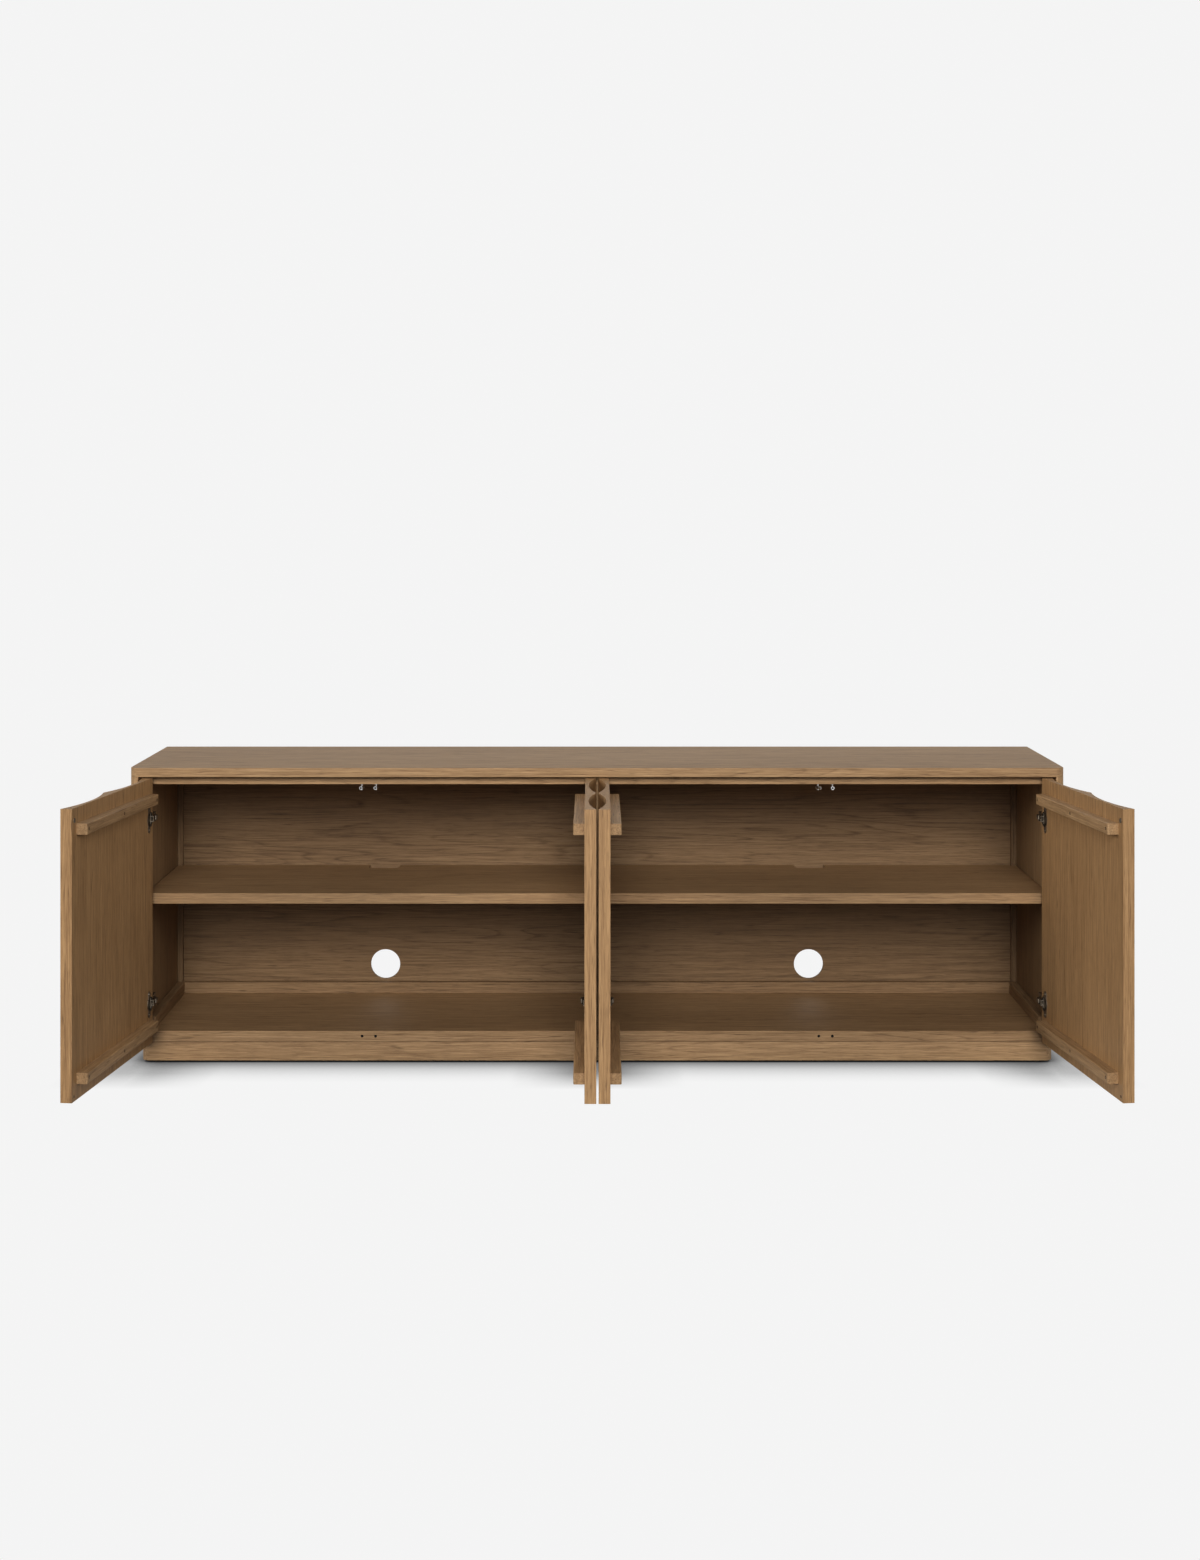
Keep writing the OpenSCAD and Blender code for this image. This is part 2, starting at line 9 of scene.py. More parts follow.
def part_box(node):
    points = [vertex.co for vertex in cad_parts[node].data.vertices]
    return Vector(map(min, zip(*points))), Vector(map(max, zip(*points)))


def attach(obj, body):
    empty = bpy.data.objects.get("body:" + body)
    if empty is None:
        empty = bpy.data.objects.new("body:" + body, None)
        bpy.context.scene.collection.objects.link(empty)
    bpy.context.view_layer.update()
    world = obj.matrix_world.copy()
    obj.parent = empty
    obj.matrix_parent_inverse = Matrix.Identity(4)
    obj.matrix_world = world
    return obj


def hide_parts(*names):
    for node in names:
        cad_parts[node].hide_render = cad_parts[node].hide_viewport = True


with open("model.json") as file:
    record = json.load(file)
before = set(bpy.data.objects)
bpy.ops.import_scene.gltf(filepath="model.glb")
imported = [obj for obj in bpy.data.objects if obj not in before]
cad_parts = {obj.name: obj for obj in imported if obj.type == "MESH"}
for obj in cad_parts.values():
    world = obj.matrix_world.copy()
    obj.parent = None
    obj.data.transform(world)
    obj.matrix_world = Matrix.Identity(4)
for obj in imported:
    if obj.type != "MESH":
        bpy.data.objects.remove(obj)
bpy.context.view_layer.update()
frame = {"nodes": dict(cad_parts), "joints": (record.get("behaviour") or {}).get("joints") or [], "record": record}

scene = bpy.context.scene
nodes = frame["nodes"]
joints = {j["name"]: j for j in frame["joints"]}
DOORS = ("left_outer", "left_inner", "right_inner", "right_outer")

# Workshop sizes that the boxes of the frame's nodes don't tell, in metres.
CORNER_RADIUS = 0.020
EASE = 0.0013
PLINTH_EASE = 0.0028
LAND = 0.003
HOLLOW_DEPTH = 0.017
CUP_RADIUS = 0.0175
CUP_EDGE = 0.004
CUP_DEPTH = 0.0115
BATTEN_END_RADIUS = 0.004
BATTEN_EASE = 0.0022
NOTCH = Vector((0.076, 0.050, 0.018))
STILE_CLEARANCE = 0.0015
MAGNET_RADIUS = 0.00325
CATCH_MAGNET_RADIUS = 0.0024
CATCH_MAGNET_FROM = 0.0076
CATCH_MAGNET_TO = 0.0087

# Radius and height of the two kinds of screw head, and how far the batten screws stand out.
BATTEN_HEAD = (0.0038, 0.0022)
SMALL_HEAD = (0.0032, 0.0016)
HEAD_PROUD = 0.0002

# How finely round shapes are made.
SMOOTH_ANGLE = math.radians(12)
HOLLOW_SIDES = 560

# The studio: its size and brightness, and how far and how deep the shade before the plinth is.
STUDIO_RADIUS = 40.0
PAPER_GLOW = 0.92
SHADE_REACH = 0.18
SHADE_DEPTH = 1.6
SHADE_START = 0.10
SHADE_END = 0.24
LAMP_DISTANCE = 6


# ---------------------------------------------------------------- camera

def add_camera():
    """A level camera at standing height, with the lens shifted down to hold the cabinet."""
    focal_share = 1.425
    low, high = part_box("top_panel")
    data = bpy.data.cameras.new("camera")
    data.sensor_width = 36.0
    data.lens = data.sensor_width * focal_share
    data.shift_x = 0.0032
    data.shift_y = -0.1786
    data.clip_end = 100
    cam = bpy.data.objects.new("camera", data)
    cam.location = (-0.0052, low.y - 5.229, high.z + 0.627)
    cam.rotation_euler = (math.radians(90), 0, 0)
    scene.collection.objects.link(cam)
    scene.camera = cam


add_camera()


# ---------------------------------------------------------------- shaping tools

def only(obj):
    """Makes obj the one selected, active object."""
    bpy.ops.object.select_all(action="DESELECT")
    obj.select_set(True)
    bpy.context.view_layer.objects.active = obj
    return obj


def settle(obj):
    """Puts an object's place into its mesh."""
    only(obj)
    bpy.ops.object.transform_apply(location=True, rotation=True, scale=True)
    return obj


def block(name, low, high):
    """A box between two corners, the start of every board."""
    bpy.ops.object.select_all(action="DESELECT")
    bpy.ops.mesh.primitive_cube_add(size=1, location=(low + high) / 2)
    obj = bpy.context.object
    obj.name = name
    obj.scale = high - low
    return settle(obj)


def rod(name, radius, start, end, sides=32):
    """A round bar between two points."""
    bpy.ops.object.select_all(action="DESELECT")
    way = end - start
    bpy.ops.mesh.primitive_cylinder_add(vertices=sides, radius=radius, depth=way.length,
                                        location=(start + end) / 2)
    obj = bpy.context.object
    obj.name = name
    obj.rotation_euler = way.to_track_quat("Z", "Y").to_euler()
    return settle(obj)


def pick(obj, kind, test):
    """Goes into edit mode with the edges or faces that pass the test selected."""
    only(obj)
    bpy.ops.object.mode_set(mode="EDIT")
    bpy.ops.mesh.select_mode(type=kind)
    bpy.ops.mesh.select_all(action="DESELECT")
    mesh = bmesh.from_edit_mesh(obj.data)
    for item in (mesh.edges if kind == "EDGE" else mesh.faces):
        if test(item):
            item.select_set(True)
    bmesh.update_edit_mesh(obj.data)


def round_edges(obj, test, radius, segments=10):
    """Rounds the edges that pass the test."""
    pick(obj, "EDGE", test)
    bpy.ops.mesh.bevel(offset=radius, segments=segments, affect="EDGES")
    bpy.ops.object.mode_set(mode="OBJECT")
    return obj


def upright(edge):
    a, b = (v.co for v in edge.verts)
    return abs((a - b).normalized().z) > 0.99


def middle(edge):
    return (edge.verts[0].co + edge.verts[1].co) / 2


def apply_modifier(obj, kind, **settings):
    """Adds a modifier, sets it and applies it."""
    only(obj)
    modifier = obj.modifiers.new(kind.title(), kind)
    for key, value in settings.items():
        setattr(modifier, key, value)
    bpy.ops.object.modifier_apply(modifier=modifier.name)
    return obj


def ease(obj, width=EASE, segments=3, limit=30):
    """Takes the sharpness off every edge, and smooths the round faces."""
    apply_modifier(obj, "BEVEL", width=width, segments=segments, limit_method="ANGLE",
                   angle_limit=math.radians(limit), use_clamp_overlap=True)
    only(obj)
    bpy.ops.object.shade_smooth_by_angle(angle=SMOOTH_ANGLE)
    return obj


def cut(obj, *cutters):
    """Takes each cutter's shape out of obj."""
    for cutter in cutters:
        apply_modifier(obj, "BOOLEAN", object=cutter, operation="DIFFERENCE", solver="EXACT")
        bpy.data.objects.remove(cutter)
    return obj


def join(name, pieces):
    """Joins pieces into one object."""
    only(pieces[0])
    for piece in pieces:
        piece.select_set(True)
    if len(pieces) > 1:
        bpy.ops.object.join()
    pieces[0].name = name
    return pieces[0]


def copy_at(obj, matrix):
    """A copy of obj with its own mesh, moved by a matrix."""
    twin = obj.copy()
    twin.data = obj.data.copy()
    twin.data.transform(matrix)
    scene.collection.objects.link(twin)
    return twin


def move(obj, matrix):
    obj.data.transform(matrix)
    return obj


def solids(node, matrix=None):
    """The corners of each separate solid of a CAD node, turned by a matrix if one is given."""
    mesh = bmesh.new()
    mesh.from_mesh(nodes[node].data)
    bmesh.ops.remove_doubles(mesh, verts=mesh.verts, dist=1e-6)
    if matrix is not None:
        mesh.transform(matrix)
    found, seen = [], set()
    for start in mesh.verts:
        if start in seen:
            continue
        group, stack = [], [start]
        seen.add(start)
        while stack:
            vert = stack.pop()
            group.append(vert.co.copy())
            for edge in vert.link_edges:
                other = edge.other_vert(vert)
                if other not in seen:
                    seen.add(other)
                    stack.append(other)
        low = Vector([min(c[k] for c in group) for k in range(3)])
        high = Vector([max(c[k] for c in group) for k in range(3)])
        found.append((low, high))
    mesh.free()
    return sorted(found, key=lambda box: tuple(round(c, 4) for c in box[0]))


def refined(node, name, width):
    """A copy of a CAD node's metalwork with its edges broken."""
    obj = copy_at(nodes[node], Matrix.Identity(4))
    for key in list(obj.keys()):
        del obj[key]
    obj.parent = None
    obj.name = name
    only(obj)
    bpy.ops.object.mode_set(mode="EDIT")
    bpy.ops.mesh.select_all(action="SELECT")
    bpy.ops.mesh.remove_doubles(threshold=1e-6)
    bpy.ops.mesh.customdata_custom_splitnormals_clear()
    bpy.ops.mesh.dissolve_limited(angle_limit=math.radians(0.6))
    bpy.ops.object.mode_set(mode="OBJECT")
    return ease(obj, width, segments=2, limit=35)


def fit_piece(obj, material, body, slot, *replaced):
    """Gives a finished piece its material, and lets it stand for its CAD nodes."""
    if isinstance(material, bpy.types.Material):
        obj.data.materials.clear()
        obj.data.materials.append(material)
    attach(obj, body)
    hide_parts(*replaced)
    return obj


# ---------------------------------------------------------------- materials

class Shader:
    """A small helper that adds and links nodes in one material."""

    def __init__(self, name):
        self.material = bpy.data.materials.new(name)
        self.material.use_nodes = True
        self.tree = self.material.node_tree
        self.bsdf = self.tree.nodes["Principled BSDF"]

    def add(self, kind, inputs=None, **settings):
        node = self.tree.nodes.new(kind)
        for key, value in settings.items():
            setattr(node, key, value)
        for key, value in (inputs or {}).items():
            self.feed(node.inputs[key], value)
        return node

    def feed(self, socket, value):
        if isinstance(value, bpy.types.NodeSocket):
            self.tree.links.new(value, socket)
        else:
            socket.default_value = value

    def coords(self, location=(0, 0, 0), rotation=(0, 0, 0), scale=(1, 1, 1)):
        source = self.add("ShaderNodeTexCoord").outputs["Object"]
        return self.mapped(source, location, rotation, scale)

    def mapped(self, vector, location=(0, 0, 0), rotation=(0, 0, 0), scale=(1, 1, 1)):
        return self.add("ShaderNodeMapping", {"Vector": vector, "Location": location,
                                              "Rotation": rotation, "Scale": scale}).outputs[0]

    def noise(self, vector, scale=1.0, detail=2.0, roughness=0.5, distortion=0.0):
        return self.add("ShaderNodeTexNoise", {"Vector": vector, "Scale": scale, "Detail": detail,
                                               "Roughness": roughness,
                                               "Distortion": distortion}).outputs["Fac"]

    def math(self, operation, a, b=0.0, c=0.0):
        return self.add("ShaderNodeMath", {0: a, 1: b, 2: c}, operation=operation).outputs[0]

    def ramp(self, value, stops, interpolation="LINEAR"):
        node = self.add("ShaderNodeValToRGB", {"Fac": value})
        node.color_ramp.interpolation = interpolation
        elements = node.color_ramp.elements
        while len(elements) < len(stops):
            elements.new(0.5)
        for element, (place, colour) in zip(elements, stops):
            element.position = place
            element.color = (*colour, 1) if len(colour) == 3 else colour
        return node.outputs["Color"]

    def span(self, value, low, high, to_low=0.0, to_high=1.0):
        return self.add("ShaderNodeMapRange", {"Value": value, "From Min": low, "From Max": high,
                                               "To Min": to_low, "To Max": to_high}).outputs[0]

    def mix(self, factor, a, b, blend="MIX"):
        node = self.add("ShaderNodeMix", data_type="RGBA", blend_type=blend)
        self.feed(node.inputs["Factor"], factor)
        self.feed(node.inputs[6], a)
        self.feed(node.inputs[7], b)
        return node.outputs[2]

    def bump(self, height, strength, distance):
        node = self.add("ShaderNodeBump", {"Height": height, "Strength": strength,
                                           "Distance": distance})
        self.feed(self.bsdf.inputs["Normal"], node.outputs[0])


def oak(name, grain, seed, tone_and_shade=1.0, turn=0.0, figure=0.5, warmth=0.0):
    """Oiled oak. grain is the fibres' axis after a turn about Z, and figure how bold the rings are.

    tone makes the wood lighter or darker: the wood's own colour on some pieces, painted shade on the top panel and
    the darker inner pieces; warmth makes it redder. seed picks the place in the pattern.
    """
    shader = Shader(name)
    place = shader.coords(location=(0.37 * seed, 0.61 * seed, 0.83 * seed), rotation=(0, 0, turn))

    def stretched(along, across):
        scale = [along if axis == grain else across for axis in "XYZ"]
        return shader.mapped(place, scale=scale)

    # growth rings: the level lines of a long, slow wave, with a thin dark line at each
    wave = shader.noise(stretched(0.42, 6.5), detail=3, roughness=0.45, distortion=0.15)
    ring = shader.math("FRACT", shader.math("MULTIPLY", wave, 38.0))
    ring = shader.ramp(ring, ((0.0, (0.55,) * 3), (0.2, (0.9,) * 3), (0.76, (1.0,) * 3),
                              (0.92, (0.0,) * 3), (1.0, (0.55,) * 3)), "EASE")
    # the rings fade in and out along a board, and fine fibres, streaks and pores lie over them
    presence = shader.span(shader.noise(stretched(1.3, 8.0), detail=3), 0.42, 0.62, 0.05, 1.0)
    fibre = shader.noise(stretched(8, 300), detail=6, roughness=0.8)
    streak = shader.noise(stretched(2.2, 130), detail=4, roughness=0.65)
    broad = shader.noise(stretched(0.5, 3.4), detail=2.5)
    pores = shader.span(shader.noise(stretched(26, 700), detail=1.5), 0.55, 0.68)
    pores = shader.math("MULTIPLY", pores, shader.span(ring, 1.0, 0.2, 0.35, 1.0))
    late = shader.math("MULTIPLY", shader.math("SUBTRACT", 1.0, ring), presence)
    value = shader.math("MULTIPLY_ADD", late, -0.36 * figure, 0.56)
    value = shader.math("ADD", value, shader.span(fibre, 0.25, 0.75, -0.48, 0.48))
    value = shader.math("ADD", value, shader.span(streak, 0.25, 0.75, -0.15, 0.15))
    value = shader.math("ADD", value, shader.span(broad, 0.3, 0.7, -0.09, 0.09))

    def shade(r, g, b):
        return (r * tone_and_shade, g * tone_and_shade * (1 - 0.052 * warmth), b * tone_and_shade * (1 - 0.14 * warmth))

    colour = shader.ramp(value, ((0.0, shade(0.150, 0.0840, 0.037)),
                                 (0.35, shade(0.295, 0.1805, 0.088)),
                                 (0.65, shade(0.415, 0.2663, 0.137)),
                                 (1.0, shade(0.540, 0.3648, 0.203))))
    in_pore = (*shade(0.11, 0.0618, 0.028), 1)
    colour = shader.mix(shader.math("MULTIPLY", pores, 0.7), colour, in_pore)
    shader.feed(shader.bsdf.inputs["Base Color"], colour)
    shader.feed(shader.bsdf.inputs["Roughness"], shader.span(fibre, 0.2, 0.8, 0.50, 0.68))
    shader.bsdf.inputs["Specular IOR Level"].default_value = 0.35
    relief = shader.math("SUBTRACT", shader.math("MULTIPLY", fibre, 0.5), pores)
    shader.bump(relief, 0.4, 0.0003)
    return shader.material


def metal(name, colour, roughness):
    """Plated steel or zinc with a fine drawn surface."""
    shader = Shader(name)
    lines = shader.noise(shader.coords(scale=(60, 900, 900)), detail=3, roughness=0.6)
    cloud = shader.noise(shader.coords(scale=(55, 55, 55)), detail=3)
    shader.bsdf.inputs["Metallic"].default_value = 1.0
    dull = tuple(0.72 * c for c in colour)
    shader.feed(shader.bsdf.inputs["Base Color"],
                shader.ramp(cloud, ((0.25, dull), (0.7, colour))))
    shader.feed(shader.bsdf.inputs["Roughness"],
                shader.span(cloud, 0.2, 0.8, roughness + 0.12, roughness - 0.04))
    shader.bump(lines, 0.25, 0.00008)
    return shader.material


def plastic(name, colour, roughness):
    """Moulded plastic or a dark sintered magnet, with a fine stipple."""
    shader = Shader(name)
    stipple = shader.noise(shader.coords(scale=(1600, 1600, 1600)), detail=2)
    cloud = shader.noise(shader.coords(scale=(70, 70, 70)), detail=2)
    pale = tuple(1.5 * c for c in colour)
    shader.feed(shader.bsdf.inputs["Base Color"], shader.ramp(cloud, ((0.3, colour), (0.75, pale))))
    shader.feed(shader.bsdf.inputs["Roughness"],
                shader.span(cloud, 0.2, 0.8, roughness - 0.06, roughness + 0.08))
    shader.bsdf.inputs["Specular IOR Level"].default_value = 0.2
    shader.bump(stipple, 0.3, 0.0001)
    return shader.material


def studio_paper():
    """Pale seamless paper, evenly lit, with a soft shade close in front of the plinth."""
    shader = Shader("studio_paper")
    nearby = shader.add("ShaderNodeAmbientOcclusion", {"Distance": SHADE_REACH}, samples=16)
    shade = shader.math("SUBTRACT", 1.0, shader.math("POWER", nearby.outputs["AO"], SHADE_DEPTH))
    depth = shader.add("ShaderNodeSeparateXYZ", {"Vector": shader.coords()}).outputs["Y"]
    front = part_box("plinth_front")[0].y
    near = shader.span(depth, front - SHADE_END, front - SHADE_START)
    shade = shader.math("MULTIPLY", shade, near)
    shader.bsdf.inputs["Base Color"].default_value = (0, 0, 0, 1)
    shader.bsdf.inputs["Roughness"].default_value = 1.0
    shader.bsdf.inputs["Specular IOR Level"].default_value = 0.0
    shader.bsdf.inputs["Emission Color"].default_value = (1, 1, 1, 1)
    shader.feed(shader.bsdf.inputs["Emission Strength"],
                shader.math("MULTIPLY_ADD", shade, -PAPER_GLOW, PAPER_GLOW))
    return shader.material


# The top panel is made a little darker as a slight painted shade, so that its upper face reads darker than the
# lamps make it.
OAK_TOP_PAINTED_SHADE = oak("oak_top_painted_shade", "X", 1.0, tone_and_shade=0.97)
OAK_SIDE = oak("oak_side", "Z", 2.3)
OAK_RAIL = oak("oak_rail", "X", 3.1, tone_and_shade=1.1)
# The inner uprights, the corner stiles and the back panels are made darker as painted shade: it stands for the
# shade deep in the bays, not for darker wood.
OAK_INNER_PAINTED_SHADE = oak("oak_inner_upright_painted_shade", "Z", 4.4, tone_and_shade=0.74)
OAK_STILE_PAINTED_SHADE = oak("oak_stile_painted_shade", "Z", 12.6, tone_and_shade=0.58)
OAK_BACK_PAINTED_SHADE = {"left": oak("oak_back_left_painted_shade", "X", 5.2, tone_and_shade=0.68, figure=0.8),
            "right": oak("oak_back_right_painted_shade", "X", 6.9, tone_and_shade=0.66, figure=0.8)}
OAK_SHELF = {"left": oak("oak_shelf_left", "X", 7.7), "right": oak("oak_shelf_right", "X", 8.3)}
OAK_FLOOR = oak("oak_bottom", "X", 9.6)
# The floor cleats, the side cleats and the plinth's ends and braces are made darker as painted shade for the shade
# low in the bays and under the cabinet.
OAK_CLEAT_PAINTED_SHADE = oak("oak_cleat_painted_shade", "X", 10.1, tone_and_shade=0.72)
OAK_DEPTH_PAINTED_SHADE = oak("oak_side_cleat_painted_shade", "Y", 11.9, tone_and_shade=0.78)
HINGE_STEEL = metal("nickel_plate", (0.25, 0.21, 0.165), 0.38)
SCREW_STEEL = metal("screw_plate", (0.22, 0.185, 0.145), 0.4)
BRONZED = metal("bronzed_screw", (0.060, 0.038, 0.022), 0.5)
ZINC = metal("bright_zinc", (0.74, 0.74, 0.73), 0.24)
MAGNET = plastic("magnet_black", (0.005, 0.0045, 0.004), 0.7)
GLIDE = plastic("glide_plastic", (0.020, 0.018, 0.016), 0.55)


# ---------------------------------------------------------------- carcass

def boards(node, material, shape=None):
    """The eased boards of one carcass node, one for each of its solids."""
    pieces = []
    for low, high in solids(node):
        piece = block(node + "_part", low, high)
        if shape:
            shape(piece, low, high)
        pieces.append(ease(piece))
    obj = join(node + "_oak", pieces)
    return fit_piece(obj, material, "root", "oak", node)


def round_front_corners(radius):
    """A shaper that rounds a board's upright front corners, where they are at the cabinet's ends."""
    def shape(piece, low, high):
        ends = [x for x in (low.x, high.x) if abs(x) > 0.9 * max(abs(low.x), abs(high.x))]
        limit = min(radius, 0.995 * (high.x - low.x))
        round_edges(piece, lambda e: upright(e) and middle(e).y < low.y + 1e-4
                    and any(abs(middle(e).x - x) < 1e-4 for x in ends), limit, 14)
    return shape


def round_plinth(piece, low, high):
    """Rounds the plinth rail's front corners, and eases its top edge into a shadow line."""
    round_front_corners(CORNER_RADIUS)(piece, low, high)
    round_edges(piece, lambda e: middle(e).z > high.z - 1e-4 and middle(e).y < low.y + 1e-4,
                PLINTH_EASE, 4)


def round_outer_corner(piece, low, high):
    """Rounds the one front corner of a side panel that is on the cabinet's outside."""
    outer = low.x if low.x < 0 else high.x
    limit = 0.995 * (high.x - low.x)
    round_edges(piece, lambda e: upright(e) and middle(e).y < low.y + 1e-4
                and abs(middle(e).x - outer) < 1e-4, min(CORNER_RADIUS, limit), 14)


def cable_port(piece, low, high):
    """Cuts the round cable hole, where the record's bore says."""
    for mount in frame["record"]["mounts"]:
        if mount["kind"] == "bore" and low.x < mount["pos_m"][0] < high.x:
            place = Vector(mount["pos_m"])
            along = Vector((0, high.y - low.y, 0))
            cut(piece, rod("port", mount["dims"]["r_mm"] / 1000, place - along, place + along, 96))


def shelf_cuts(piece, low, high):
    """Cuts the cable notch and the corners round the stiles."""
    past = Vector((0, 0.01, 0.01))
    mid = (low.x + high.x) / 2
    notch = block("notch", Vector((mid - NOTCH.x / 2, high.y - NOTCH.y, low.z - past.z)),
                  Vector((mid + NOTCH.x / 2, high.y + past.y, high.z + past.z)))
    round_edges(notch, lambda e: upright(e) and middle(e).y < high.y, NOTCH.z, 10)
    cut(piece, notch)
    stile = solids("corner_stiles")[0]
    side = stile[1].x - stile[0].x + STILE_CLEARANCE
    start = stile[0].y - STILE_CLEARANCE
    inner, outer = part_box("centre_partition")[1].x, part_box("side_liner_right")[0].x
    sign = 1 if mid > 0 else -1
    for x0, x1 in ((inner - side, inner + side), (outer - side, outer + side)):
        a, b = sorted((sign * x0, sign * x1))
        cut(piece, block("corner", Vector((a, start, low.z - past.z)),
                         Vector((b, high.y + past.y, high.z + past.z))))


def drill_front(piece, low, high):
    """Drills the bottom panel's front edge for the small magnets."""
    for a, b in solids("floor_magnets"):
        centre = (a + b) / 2
        mouth = Vector((centre.x, low.y - 0.01, centre.z))
        cut(piece, rod("drill", MAGNET_RADIUS, mouth, Vector((centre.x, b.y, centre.z)), 24))


boards("top_panel", OAK_TOP_PAINTED_SHADE, round_front_corners(CORNER_RADIUS))
boards("sub_top", OAK_RAIL)
boards("side_panel_left", OAK_SIDE, round_outer_corner)
boards("side_panel_right", OAK_SIDE, round_outer_corner)
boards("side_liner_left", OAK_INNER_PAINTED_SHADE)
boards("side_liner_right", OAK_INNER_PAINTED_SHADE)
boards("centre_partition", OAK_INNER_PAINTED_SHADE)
boards("bottom_panel", OAK_FLOOR, drill_front)
boards("rear_floor_cleats", OAK_CLEAT_PAINTED_SHADE)
boards("side_floor_cleats", OAK_DEPTH_PAINTED_SHADE)
boards("corner_stiles", OAK_STILE_PAINTED_SHADE)
boards("plinth_front", OAK_RAIL, round_plinth)
boards("plinth_back", OAK_RAIL)
boards("plinth_left", OAK_DEPTH_PAINTED_SHADE)
boards("plinth_right", OAK_DEPTH_PAINTED_SHADE)
boards("plinth_braces", OAK_DEPTH_PAINTED_SHADE)
for hand in ("left", "right"):
    boards("back_panel_" + hand, OAK_BACK_PAINTED_SHADE[hand], cable_port)
    boards("shelf_" + hand, OAK_SHELF[hand], shelf_cuts)


# ---------------------------------------------------------------- doors

def closing(door):
    """The turn that carries an open door to its closed place."""
    joint = joints[door + "_door_hinge"]
    pivot = Matrix.Translation(Vector(joint["pos_m"]))
    angle = math.radians(max(joint["range_deg"], key=abs))
    return pivot @ Matrix.Rotation(angle, 4, "Z") @ pivot.inverted(), angle


def hinge_side(door, low, high):
    """The x of a closed door's hinged edge, and the sign that points from it along the door."""
    pivot = joints[door + "_door_hinge"]["pos_m"][0]
    return (low.x, 1) if abs(pivot - low.x) < abs(pivot - high.x) else (high.x, -1)


def carve_hollows(panel, low, high):
    """Cuts the two broad hollows along a door's outer face."""
    width = (high.x - low.x - 3 * LAND) / 2
    radius = (width * width / 4 + HOLLOW_DEPTH ** 2) / (2 * HOLLOW_DEPTH)
    past = Vector((0, 0, 0.05))
    for k in (0, 1):
        x = low.x + LAND + width / 2 + k * (width + LAND)
        foot = Vector((x, low.y + HOLLOW_DEPTH - radius, low.z))
        head = Vector((foot.x, foot.y, high.z))
        cut(panel, rod("hollow", radius, foot - past, head + past, HOLLOW_SIDES))


def bore_cups(panel, door, low, high, heights):
    """Bores the round seats of the hinge cups in a door's inner face."""
    edge, sign = hinge_side(door, low, high)
    for z in heights:
        mouth = Vector((edge + sign * (CUP_EDGE + CUP_RADIUS), high.y + 0.01, z))
        floor = Vector((mouth.x, high.y - CUP_DEPTH, z))
        cut(panel, rod("bore", CUP_RADIUS, mouth, floor, 48))


def make_panel(door, turn, material):
    """One carved door panel."""
    node = door + "_door_panel"
    low, high = solids(node, turn)[0]
    panel = block(node + "_oak", low, high)
    carve_hollows(panel, low, high)
    cups = solids(door + "_door_hinge_cups", turn)
    bore_cups(panel, door, low, high, sorted((a.z + b.z) / 2 for a, b in cups))
    disc = min(solids(door + "_door_catch_discs", turn), key=lambda box: box[0].z)
    centre = (disc[0] + disc[1]) / 2
    cut(panel, rod("seat", MAGNET_RADIUS, Vector((centre.x, high.y + 0.01, centre.z)),
                   Vector((centre.x, disc[0].y, centre.z)), 24))
    ease(panel, 0.0015)
    move(panel, turn.inverted())
    return fit_piece(panel, material, door + "_door", "oak", node)


def make_battens(door, turn, material):
    """The two battens on a door's inner face, with soft ends."""
    node = door + "_door_battens"
    pieces = []
    for low, high in solids(node, turn):
        piece = block("batten", low, high)
        round_edges(piece, lambda e: upright(e) and middle(e).y > high.y - 1e-4, BATTEN_END_RADIUS, 8)
        round_edges(piece, lambda e: not upright(e) and middle(e).y > low.y + 1e-4
                    and abs(e.verts[0].co.y - e.verts[1].co.y) < 1e-4, BATTEN_EASE, 4)
        only(piece)
        bpy.ops.object.shade_smooth_by_angle(angle=SMOOTH_ANGLE)
        pieces.append(piece)
    obj = join(node + "_oak", pieces)
    move(obj, turn.inverted())
    return fit_piece(obj, material, door + "_door", "oak", node)


def screw_head(name, radius, height):
    """A low domed head with a cross recess, its top at the origin and facing +Z."""
    head = rod(name, radius, Vector((0, 0, -height)), Vector((0, 0, 0)), 28)
    round_edges(head, lambda e: middle(e).z > -1e-5 and not upright(e), 0.35 * height, 3)
    arm, width = 0.62 * radius, 0.15 * radius
    for x, y in ((arm, width), (width, arm)):
        cut(head, block("recess", Vector((-x, -y, -0.5 * height)), Vector((x, y, height))))
    only(head)
    bpy.ops.object.shade_smooth_by_angle(angle=math.radians(20))
    return head


TO_BACK = Matrix.Rotation(math.radians(-90), 4, "X")


def make_heads(node, turn, template, proud):
    """Screw heads at a door node's screws, facing away from the inner face."""
    heads = []
    for low, high in solids(node, turn):
        centre = (low + high) / 2
        top = Vector((centre.x, high.y + proud, centre.z))
        twist = Matrix.Rotation(math.radians(37 * len(heads) + 11), 4, "Z")
        heads.append(copy_at(template, Matrix.Translation(top) @ TO_BACK @ twist))
    return join(node + "_steel", heads)


